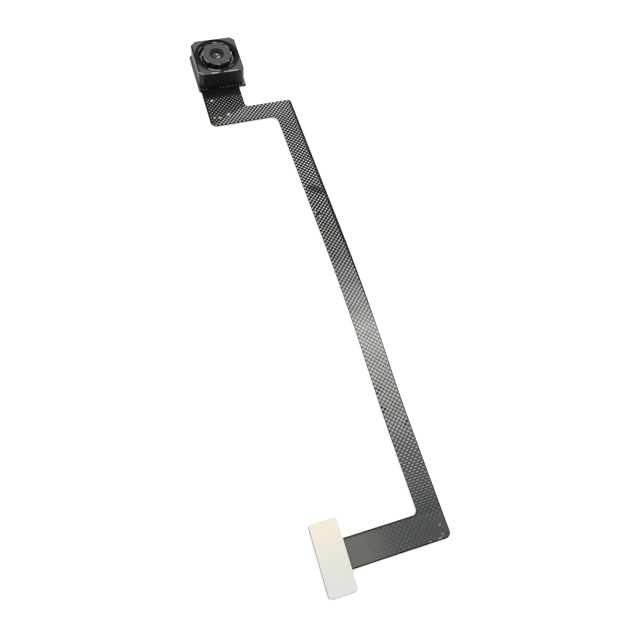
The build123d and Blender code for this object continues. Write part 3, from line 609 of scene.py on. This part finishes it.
def hatchTree():
    tree, given = newTree("hatchedFilm", {
        "Object": ["Outline"], "Vector": ["Middle"],
        "Float": ["Span", "Pitch", "Ridge", "Slope", "Depth", "Sheet", "Turn", "Reach", "Weld"]})
    # a square grid of cells, turned, and cut down to those that reach the outline
    fit = addNode(tree, "ShaderNodeMath", {0: given["Span"], 1: given["Pitch"]}, operation="DIVIDE")
    whole = addNode(tree, "ShaderNodeMath", {0: fit}, operation="ROUND")
    count = addNode(tree, "ShaderNodeMath", {0: whole, 1: 1.0}, operation="ADD")
    size = addNode(tree, "ShaderNodeMath", {0: whole, 1: given["Pitch"]}, operation="MULTIPLY")
    cells = addNode(tree, "GeometryNodeMeshGrid", {
        "Size X": size, "Size Y": size, "Vertices X": count, "Vertices Y": count})
    angle = addNode(tree, "ShaderNodeMath", {0: given["Turn"]}, operation="RADIANS")
    turned = addNode(tree, "GeometryNodeTransform", {
        "Geometry": cells, "Translation": given["Middle"],
        "Rotation": addNode(tree, "ShaderNodeCombineXYZ", {"Z": angle})})
    outline = addNode(tree, "GeometryNodeObjectInfo", {"Object": given["Outline"]}, out="Geometry")
    plan = addNode(tree, "GeometryNodeTransform", {"Geometry": outline, "Scale": (1.0, 1.0, 0.0)})
    away = addNode(tree, "GeometryNodeProximity", {0: plan}, out="Distance", target_element="FACES")
    limit = addNode(tree, "ShaderNodeMath", {0: given["Pitch"], 1: given["Reach"]}, operation="MULTIPLY")
    beyond = addNode(tree, "ShaderNodeMath", {0: away, 1: limit}, operation="GREATER_THAN")
    kept = addNode(tree, "GeometryNodeDeleteGeometry", {"Geometry": turned, "Selection": beyond}, domain="FACE")
    # a closed sheet: the cells raised by the sheet's thickness, and the same cells turned over below
    lift = addNode(tree, "ShaderNodeCombineXYZ", {"Z": given["Sheet"]})
    raised = addNode(tree, "GeometryNodeExtrudeMesh", {
        "Mesh": kept, "Offset": lift, "Individual": False}, out=None, mode="FACES").outputs
    inner = addNode(tree, "GeometryNodeExtrudeMesh", {
        "Mesh": raised["Mesh"], "Selection": raised["Top"], "Offset Scale": 0.0}, out=None, mode="FACES").outputs
    clear = addNode(tree, "ShaderNodeMath", {0: given["Pitch"], 1: given["Ridge"]}, operation="SUBTRACT")
    share = addNode(tree, "ShaderNodeMath", {0: clear, 1: given["Pitch"]}, operation="DIVIDE")
    rimmed = addNode(tree, "GeometryNodeScaleElements", {
        "Geometry": inner["Mesh"], "Selection": inner["Top"], "Scale": share}, domain="FACE")
    drop = addNode(tree, "ShaderNodeMath", {0: given["Depth"], 1: -1.0}, operation="MULTIPLY")
    hollow = addNode(tree, "GeometryNodeExtrudeMesh", {
        "Mesh": rimmed, "Selection": inner["Top"], "Offset": addNode(tree, "ShaderNodeCombineXYZ", {"Z": drop})},
        out=None, mode="FACES").outputs
    slopes = addNode(tree, "ShaderNodeMath", {0: given["Slope"], 1: 2.0}, operation="MULTIPLY")
    level = addNode(tree, "ShaderNodeMath", {0: clear, 1: slopes}, operation="SUBTRACT")
    narrow = addNode(tree, "ShaderNodeMath", {0: level, 1: clear}, operation="DIVIDE")
    floors = addNode(tree, "GeometryNodeScaleElements", {
        "Geometry": hollow["Mesh"], "Selection": hollow["Top"], "Scale": narrow}, domain="FACE")
    under = addNode(tree, "GeometryNodeFlipFaces", {"Mesh": kept})
    both = addNode(tree, "GeometryNodeJoinGeometry", {0: [floors, under]})
    closed = addNode(tree, "GeometryNodeMergeByDistance", {"Geometry": both, "Distance": given["Weld"]})
    trimmed = addNode(tree, "GeometryNodeMeshBoolean", {1: [closed, outline]}, operation="INTERSECT", solver="EXACT")
    # the floors of the cells lie below the ridges and look up
    deep, upright = 0.9, 0.99  # share of the depth, and of straight up, from which a face is a floor
    height = addNode(tree, "ShaderNodeSeparateXYZ", {0: addNode(tree, "GeometryNodeInputPosition")}, out=2)
    upward = addNode(tree, "ShaderNodeSeparateXYZ", {0: addNode(tree, "GeometryNodeInputNormal")}, out=2)
    floorDrop = addNode(tree, "ShaderNodeMath", {0: given["Depth"], 1: deep}, operation="MULTIPLY")
    floorLevel = addNode(tree, "ShaderNodeMath", {0: given["Sheet"], 1: floorDrop}, operation="SUBTRACT")
    low = addNode(tree, "ShaderNodeMath", {0: height, 1: floorLevel}, operation="LESS_THAN")
    up = addNode(tree, "ShaderNodeMath", {0: upward, 1: upright}, operation="GREATER_THAN")
    isFloor = addNode(tree, "ShaderNodeMath", {0: low, 1: up}, operation="MULTIPLY")
    real = addNode(tree, "GeometryNodeRealizeInstances", {"Geometry": trimmed})
    ridges = addNode(tree, "GeometryNodeSetMaterial", {"Geometry": real, "Material": filmRidge})
    holes = addNode(tree, "GeometryNodeSetMaterial", {"Geometry": ridges, "Selection": isFloor, "Material": filmCell})
    addNode(tree, "NodeGroupOutput", {0: holes}, out=None)
    return tree


def grownMesh(name, tree, values):
    # runs a tree on an empty carrier and gives back the plain mesh
    carrier = newObject(name, bpy.data.meshes.new(name))
    modifier = carrier.modifiers.new(name, "NODES")
    modifier.node_group = tree
    for item in tree.interface.items_tree:
        if item.in_out == "INPUT":
            modifier[item.identifier] = values[item.name]
    graph = bpy.context.evaluated_depsgraph_get()
    mesh = bpy.data.meshes.new_from_object(carrier.evaluated_get(graph))
    mesh.name = name
    bpy.data.objects.remove(carrier)
    return mesh


def joinedPiece(name, meshes, finish):
    # one piece of several closed meshes, its faces outwards
    whole = bmesh.new()
    for part in meshes:
        whole.from_mesh(part)
    bmesh.ops.recalc_face_normals(whole, faces=whole.faces)
    mesh = meshOf(name, whole)
    mesh.materials.append(finish)
    return newObject(name, mesh)


def makeFilms():
    prism = outlinePrism("filmOutline", roundedOutline(filmPlan["corners"], filmPlan["arcSteps"]), -1.0, 1.0)
    inputs = {key.capitalize(): value for key, value in hatch.items()}
    flat = grownMesh("flatFilm", hatchTree(), {"Outline": prism, **inputs})
    bpy.data.objects.remove(prism)
    slant = radians(flexSide["slant"])
    for name, node, side in (("shieldFilmTop", "shield_film_top", 1), ("shieldFilmBottom", "shield_film_bottom", -1)):
        mesh = flat.copy()
        mesh.name = name
        for vertex in mesh.vertices:
            x, y, z = vertex.co
            along = sin(slant) * x - cos(slant) * y
            base = undersideHeight(along) + (flexSide["coreSheet"] if side > 0 else 0.0)
            vertex.co = (x * mm, y * mm, (base + side * z) * mm)
        if side < 0:
            mesh.flip_normals()
        for polygon in mesh.polygons:
            polygon.use_smooth = True
        mesh.set_sharp_from_angle(angle=radians(filmPlan["sharpAngle"]))
        film = newObject(name, mesh)
        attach(film, "housing")
        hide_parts(node)
        print(name, "made, faces:", len(mesh.polygons))


makeFilms()


# short raised arcs of black polymer coloured pale as painted highlights: the lip of the ring round the lens, and the
# carrier's stops inside it
highlightArcs = {
    "material": "paleHighlightPolymer", "slot": "black_plastic", "resolution": 24, "profileSteps": 8,
    # each piece: its body, the height it lies at, its bead's height, and then each arc's radius, first angle,
    # sweep and width, in mm and degrees
    "pieces": {
        "ringLip": ("housing", 4.01, 0.07, [
            (3.6, 232.0, 36.0, 0.26), (3.56, 298.0, 18.0, 0.08), (3.48, 54.0, 14.0, 0.14), (3.48, 76.0, 15.0, 0.16),
            (3.56, 129.0, 21.0, 0.12)]),
        "carrierStops": ("lens_group", 3.72, 0.3, [(2.97, 322.0, 30.0, 0.18), (2.97, 166.0, 22.0, 0.16)]),
    },
}


def arcTree():
    tree, given = newTree("rubbedArc", {
        "Float": ["Radius", "Start", "Sweep", "Width", "Height", "Level"], "Int": ["Steps", "Profile Steps"],
        "Material": ["Finish"]})
    start = addNode(tree, "ShaderNodeMath", {0: given["Start"]}, operation="RADIANS")
    sweep = addNode(tree, "ShaderNodeMath", {0: given["Sweep"]}, operation="RADIANS")
    arc = addNode(tree, "GeometryNodeCurveArc", {
        "Resolution": given["Steps"], "Radius": given["Radius"], "Start Angle": start, "Sweep Angle": sweep},
        mode="RADIUS")
    # a profile one across, scaled to the bead's width and height
    circle = addNode(tree, "GeometryNodeCurvePrimitiveCircle", {"Resolution": given["Profile Steps"], "Radius": 0.5})
    across = addNode(tree, "ShaderNodeCombineXYZ", {"X": given["Width"], "Y": given["Height"], "Z": 1.0})
    profile = addNode(tree, "GeometryNodeTransform", {"Geometry": circle, "Scale": across})
    bead = addNode(tree, "GeometryNodeCurveToMesh", {"Curve": arc, "Profile Curve": profile, "Fill Caps": True})
    raised = addNode(tree, "GeometryNodeTransform", {
        "Geometry": bead, "Translation": addNode(tree, "ShaderNodeCombineXYZ", {"Z": given["Level"]})})
    real = addNode(tree, "GeometryNodeRealizeInstances", {"Geometry": raised})
    finished = addNode(tree, "GeometryNodeSetMaterial", {"Geometry": real, "Material": given["Finish"]})
    addNode(tree, "NodeGroupOutput", {0: finished}, out=None)
    return tree


def makeArcs():
    tree = arcTree()
    finish = plain[highlightArcs["material"]]
    for name, (body, level, height, arcs) in highlightArcs["pieces"].items():
        beads = [grownMesh("rubbedArc", tree, {
            "Radius": radius * mm, "Start": start, "Sweep": sweep, "Width": width * mm, "Height": height * mm,
            "Level": level * mm, "Steps": highlightArcs["resolution"], "Profile Steps": highlightArcs["profileSteps"],
            "Finish": finish}) for radius, start, sweep, width in arcs]
        piece = joinedPiece(name, beads, finish)
        for polygon in piece.data.polygons:
            polygon.use_smooth = True
        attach(piece, body)
        heights = [vertex.co.z / mm for vertex in piece.data.vertices]
        print(name, "made, from", round(min(heights), 3), "to", round(max(heights), 3), "mm")


makeArcs()


# upper leaf spring in two pieces, so that its ring lifts with the carrier while its frame and arms stay in the head
upperSpring = {
    "node": "upper_spring", "slot": "spring_metal", "inset": 0.17, "step": 4.0, "ease": 0.4,
    "ring": (2.72, 3.08), "tongue": 3.31, "hole": 3.75, "arm": (3.42, 3.53), "firstArm": -15.0, "sweep": 62.0,
    "bridge": 4.0, "arms": 4,
    # the can's cut corners, as side along x, side along y and cut
    "cuts": [(-1, 1, 0.95), (1, 1, 0.75), (1, -1, 0.5), (-1, -1, 0.7)],
}


def bandMesh(rows, low, high):
    # a flat band through rows of angle, inner and outer radius; closed on itself when it goes all the way round
    band = bmesh.new()
    edges = []
    for angle, inner, outer in rows:
        way = Vector((cos(radians(angle)), sin(radians(angle)), 0.0)) * mm
        edges.append([band.verts.new(way * radius + Vector((0.0, 0.0, height)))
                      for radius, height in ((inner, low), (outer, low), (outer, high), (inner, high))])
    allRound = rows[-1][0] - rows[0][0] > 360 - 2 * upperSpring["step"]
    for here, there in zip(edges, edges[1:] + edges[:1] if allRound else edges[1:]):
        for k in range(4):
            band.faces.new((here[k - 1], there[k - 1], there[k], here[k]))
    if not allRound:
        band.faces.new(edges[0])
        band.faces.new(edges[-1])
    return meshOf("springBand", band)


def windowRows(starts, width, extra, plainRadii, windowRadii):
    # rows round the whole band, with other radii inside the windows; radii are functions of the angle
    step, ease = upperSpring["step"], upperSpring["ease"]
    angles = [i * step for i in range(round(360 / step))] + extra
    clear = [a for a in angles if all((a - s + ease) % 360 > width + 2 * ease for s in starts)]
    rows = [(a, *plainRadii(a)) for a in clear]
    for s in starts:
        for angle, radii in ((s - ease, plainRadii), (s, windowRadii), (s + width, windowRadii),
                             (s + width + ease, plainRadii)):
            rows.append((angle % 360, *radii(angle)))
    return sorted(rows)


def makeUpperSpring():
    facts = upperSpring
    (_, _, low), (half, _, high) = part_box(facts["node"])
    half /= mm
    shrink = facts["inset"] * (2 - sqrt(2))  # an outline set in from the can's has shorter cuts
    cuts = [(sx, sy, cut - shrink) for sx, sy, cut in facts["cuts"]]
    corners = []
    for sx, sy, cut in cuts:
        for a, b in ((half, half - cut), (half - cut, half)):
            corners.append(degrees(atan2(sy * b, sx * a)) % 360)

    def outline(angle):
        # how far the frame reaches at an angle: to its sides, or to the cuts on that side
        x, y = cos(radians(angle)), sin(radians(angle))
        reach = [half / max(abs(x), abs(y))]
        reach += [(2 * half - cut) / (sx * x + sy * y) for sx, sy, cut in cuts if sx * x + sy * y > 0.5]
        return min(reach)

    sweep, bridge = facts["sweep"], facts["bridge"]
    starts = [facts["firstArm"] + 360 / facts["arms"] * i for i in range(facts["arms"])]
    ends = [start + sweep - bridge for start in starts]
    (ringIn, ringOut), (armIn, armOut) = facts["ring"], facts["arm"]
    ring = [windowRows(starts, bridge, [], lambda a: (ringIn, ringOut), lambda a: (ringIn, facts["tongue"]))]
    outer = [windowRows(ends, bridge, corners, lambda a: (facts["hole"], outline(a)), lambda a: (armIn, outline(a)))]
    steps = round(sweep / facts["step"])
    turns = [(sweep - bridge) * i / steps for i in range(steps + 1)]
    outer += [[(start + turn, armIn, armOut) for turn in turns] for start in starts]
    for name, body, bands in (("upperSpringRing", "lens_group", ring), ("upperSpringFrame", "housing", outer)):
        piece = joinedPiece(name, [bandMesh(rows, low, high) for rows in bands], spring)
        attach(piece, body)
        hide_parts(facts["node"])
        print(name, "made, faces:", len(piece.data.polygons))


makeUpperSpring()


# small radii on the hard edges of the mouldings that show, in mm
softEdges = {
    "radii": {"top_frame": 0.02, "lens_barrel": 0.03, "sensor_housing": 0.03, "sensor_board": 0.015},
    "weld": 0.0005, "segments": 2, "fromAngle": 35,
}


def softenEdges():
    for name, radius in softEdges["radii"].items():
        weld = nodes[name].modifiers.new("weld", "WELD")
        weld.merge_threshold = softEdges["weld"] * mm
        bevel = nodes[name].modifiers.new("bevel", "BEVEL")
        bevel.width = radius * mm
        bevel.segments = softEdges["segments"]
        bevel.limit_method = "ANGLE"
        bevel.angle_limit = radians(softEdges["fromAngle"])


softenEdges()
print("edges softened")


# studio: pale table, soft lamps, camera
studio = {
    "cameraAt": (-18.966, -93.584, 93.102), "right": (0.94928, -0.29361, 0.11253),
    "down": (-0.22369, -0.88212, -0.41453), "forward": (0.22097, 0.36833, -0.90305),
    "lens": 35.466, "sensor": 36.0, "clip": (0.005, 20.0),
    "tableSize": 3.0, "tableHeight": -0.00003, "tableColour": "#f4f4f2", "tableGlow": 0.62,
    "skyLevel": 0.6, "horizonLevel": 1.0, "skyFrom": 0.5,
    # name, direction from the strip's middle, distance, width, height, radiance
    "lamps": [
        ("backSoftbox", (0.28, 0.42, 0.86), 0.60, 0.24, 0.24, 4.8),
        ("pinLamp", (0.16, 0.74, 0.66), 0.60, 0.02, 0.02, 60.0),
        ("sideSoftbox", (-0.80, 0.15, 0.58), 0.60, 0.40, 0.30, 0.8),
        ("frontFill", (0.30, -0.75, 0.60), 0.80, 0.50, 0.30, 0.35),
    ],
    "lampTarget": (0.009, -0.060, 0.003),
}


def makeCamera():
    right, up, back = Vector(studio["right"]), -Vector(studio["down"]), -Vector(studio["forward"])
    camera = bpy.data.cameras.new("photoCamera")
    camera.lens, camera.sensor_width, camera.sensor_fit = studio["lens"], studio["sensor"], "HORIZONTAL"
    camera.clip_start, camera.clip_end = studio["clip"]
    holder = newObject("photoCamera", camera)
    turn = Matrix((right, up, back)).transposed().to_4x4()
    holder.matrix_world = Matrix.Translation(Vector(studio["cameraAt"]) * mm) @ turn
    scene.camera = holder


def makeLamps():
    target = Vector(studio["lampTarget"])
    for name, direction, distance, width, height, radiance in studio["lamps"]:
        lamp = bpy.data.lights.new(name, "AREA")
        lamp.shape, lamp.size, lamp.size_y = "RECTANGLE", width, height
        lamp.energy = radiance * pi * width * height
        holder = newObject(name, lamp)
        aim = Vector(direction).normalized()
        holder.location = target + aim * distance
        holder.rotation_mode = "QUATERNION"
        holder.rotation_quaternion = aim.to_track_quat("Z", "Y")


def makeWorld():
    # a white studio: bright round the horizon, softer overhead
    world = bpy.data.worlds.new("paleStudio")
    scene.world = world
    tree = emptyTree(world)
    look = addNode(tree, "ShaderNodeTexCoord", out="Generated")
    rise = addNode(tree, "ShaderNodeSeparateXYZ", {0: look}, out=2)
    level = addNode(tree, "ShaderNodeMapRange", {
        "Value": rise, "From Min": 0.0, "From Max": studio["skyFrom"], "To Min": studio["horizonLevel"],
        "To Max": studio["skyLevel"]}, interpolation_type="SMOOTHSTEP")
    sky = addNode(tree, "ShaderNodeBackground", {"Color": (1, 1, 1, 1), "Strength": level})
    addNode(tree, "ShaderNodeOutputWorld", {"Surface": sky}, out=None)


def makeTable():
    half, height = studio["tableSize"] / 2, studio["tableHeight"]
    corners = [(x * half, y * half, height) for x, y in ((-1, -1), (1, -1), (1, 1), (-1, 1))]
    mesh = bpy.data.meshes.new("paleTable")
    mesh.from_pydata(corners, [], [(0, 1, 2, 3)])
    table = newObject("paleTable", mesh)
    material = bpy.data.materials.new("whiteTable")
    tree = emptyTree(material)
    # the table glows only for the rays that look at it, so that it reads white and still holds the shadow
    rays = addNode(tree, "ShaderNodeLightPath", out=None).outputs
    seen = addNode(tree, "ShaderNodeMath", {0: rays["Is Camera Ray"], 1: rays["Is Glossy Ray"]}, operation="MAXIMUM")
    seen = addNode(tree, "ShaderNodeMath", {0: seen, 1: rays["Is Transmission Ray"]}, operation="MAXIMUM")
    glow = addNode(tree, "ShaderNodeMath", {0: seen, 1: studio["tableGlow"]}, operation="MULTIPLY")
    paint = addNode(tree, "ShaderNodeBsdfDiffuse", {"Color": linearColour(studio["tableColour"])})
    light = addNode(tree, "ShaderNodeEmission", {"Color": (1, 1, 1, 1), "Strength": glow})
    both = addNode(tree, "ShaderNodeAddShader", {0: paint, 1: light})
    addNode(tree, "ShaderNodeOutputMaterial", {"Surface": both}, out=None)
    mesh.materials.append(material)


makeCamera()
makeLamps()
makeWorld()
makeTable()
scene.view_settings.view_transform = "Standard"
print("studio ready")
